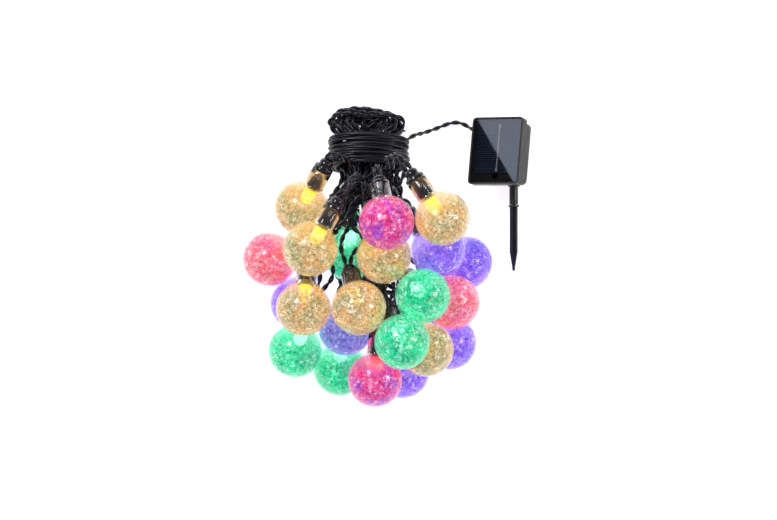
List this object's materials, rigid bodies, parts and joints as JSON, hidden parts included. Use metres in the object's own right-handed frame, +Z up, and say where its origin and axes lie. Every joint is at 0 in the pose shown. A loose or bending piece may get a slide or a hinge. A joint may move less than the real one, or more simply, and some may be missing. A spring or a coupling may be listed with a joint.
{
  "type": "solar string lights",
  "caption": "Solar string lights put away as one bundle: crackled globe bulbs on a twisted cord, a wrapped hank, and a small tilting solar panel on a ground stake.",
  "frame": {"origin": "on the surface the bundle lies on, under the middle of the bulbs and the solar unit", "axes": "+Z up from the surface, +Y from the bulbs towards the folded end of the cord, +X towards the solar unit"},
  "size_m": [0.2118, 0.2235, 0.1191],
  "materials": {
    "globe_gold": "crackled, clear and gold-lit",
    "globe_green": "crackled, clear and green-lit",
    "globe_rose": "crackled, clear and pink-lit",
    "globe_violet": "crackled, clear and violet-lit",
    "bulb_holder": "glossy",
    "unit_case": "satin, fine-grained",
    "button": "soft matt",
    "panel_cover": "clear epoxy",
    "solar_cell": "silicon with silver busbar",
    "battery": "shrink-wrapped",
    "circuit_board": "solder-masked",
    "screw": "zinc-plated",
    "cord": "smooth PVC, slightly glossy"
  },
  "bodies": {
    "root": {"globe_01": "globe_gold", "socket_01": "bulb_holder", "globe_04": "globe_rose", "socket_04": "bulb_holder", "globe_06": "globe_green", "socket_06": "bulb_holder", "globe_07": "globe_gold", "socket_07": "bulb_holder", "globe_08": "globe_violet", "socket_08": "bulb_holder", "globe_09": "globe_violet", "socket_09": "bulb_holder", "globe_10": "globe_gold", "socket_10": "bulb_holder", "globe_11": "globe_gold", "socket_11": "bulb_holder", "globe_12": "globe_green", "socket_12": "bulb_holder", "globe_13": "globe_rose", "socket_13": "bulb_holder", "globe_14": "globe_green", "socket_14": "bulb_holder", "globe_15": "globe_gold", "socket_15": "bulb_holder", "globe_16": "globe_violet", "socket_16": "bulb_holder", "globe_17": "globe_violet", "socket_17": "bulb_holder", "globe_18": "globe_green", "socket_18": "bulb_holder", "globe_19": "globe_green", "socket_19": "bulb_holder", "globe_20": "globe_rose", "socket_20": "bulb_holder", "globe_21": "globe_violet", "socket_21": "bulb_holder", "globe_22": "globe_violet", "socket_22": "bulb_holder", "panel_bezel": "unit_case", "panel_cover": "panel_cover", "solar_cell": "solar_cell", "rear_case": "unit_case", "battery_cell": "battery", "circuit_board": "circuit_board", "cable_gland": "cord", "pivot_screw": "screw", "lead_winding": "cord", "cord_hank": "cord", "bulb_cords": "cord", "lead_cord": "cord"},
    "stake": {"tilt_bracket": "unit_case", "stake_tube": "unit_case"},
    "spike": {"ground_spike": "unit_case"},
    "button": {"power_button": "button"},
    "bulb_02": {"globe_02": "globe_gold", "socket_02": "bulb_holder"},
    "bulb_03": {"globe_03": "globe_rose", "socket_03": "bulb_holder"},
    "bulb_05": {"globe_05": "globe_gold", "socket_05": "bulb_holder"}
  },
  "joints": [
    {"name": "panel_tilt", "type": "hinge", "parent": "root", "child": "stake", "pos_m": [0.09365, 0.07026, 0.00702], "axis": [0.866, 0, 0.5], "range_deg": [-10, 75]},
    {"name": "spike_pull", "type": "slide", "parent": "stake", "child": "spike", "axis": [0, -1, 0], "range_m": [0, 0.011]},
    {"name": "power_press", "type": "slide", "parent": "root", "child": "button", "axis": [-0.4924, 0.1736, 0.8529], "range_m": [0, 0.0008], "stiffness_N_per_m": 400, "springref_m": -0.001},
    {"name": "bulb_02_lift", "type": "hinge", "parent": "root", "child": "bulb_02", "pos_m": [0.01541, 0.06591, 0.097], "axis": [-0.8192, -0.5736, 0], "range_deg": [0, 20]},
    {"name": "bulb_03_lift", "type": "hinge", "parent": "root", "child": "bulb_03", "pos_m": [-0.00635, 0.06085, 0.07292], "axis": [-0.9848, -0.1736, 0], "range_deg": [0, 20]},
    {"name": "bulb_05_lift", "type": "hinge", "parent": "root", "child": "bulb_05", "pos_m": [-0.03415, 0.04588, 0.09301], "axis": [-0.866, 0.5, 0], "range_deg": [0, 20]}
  ]
}
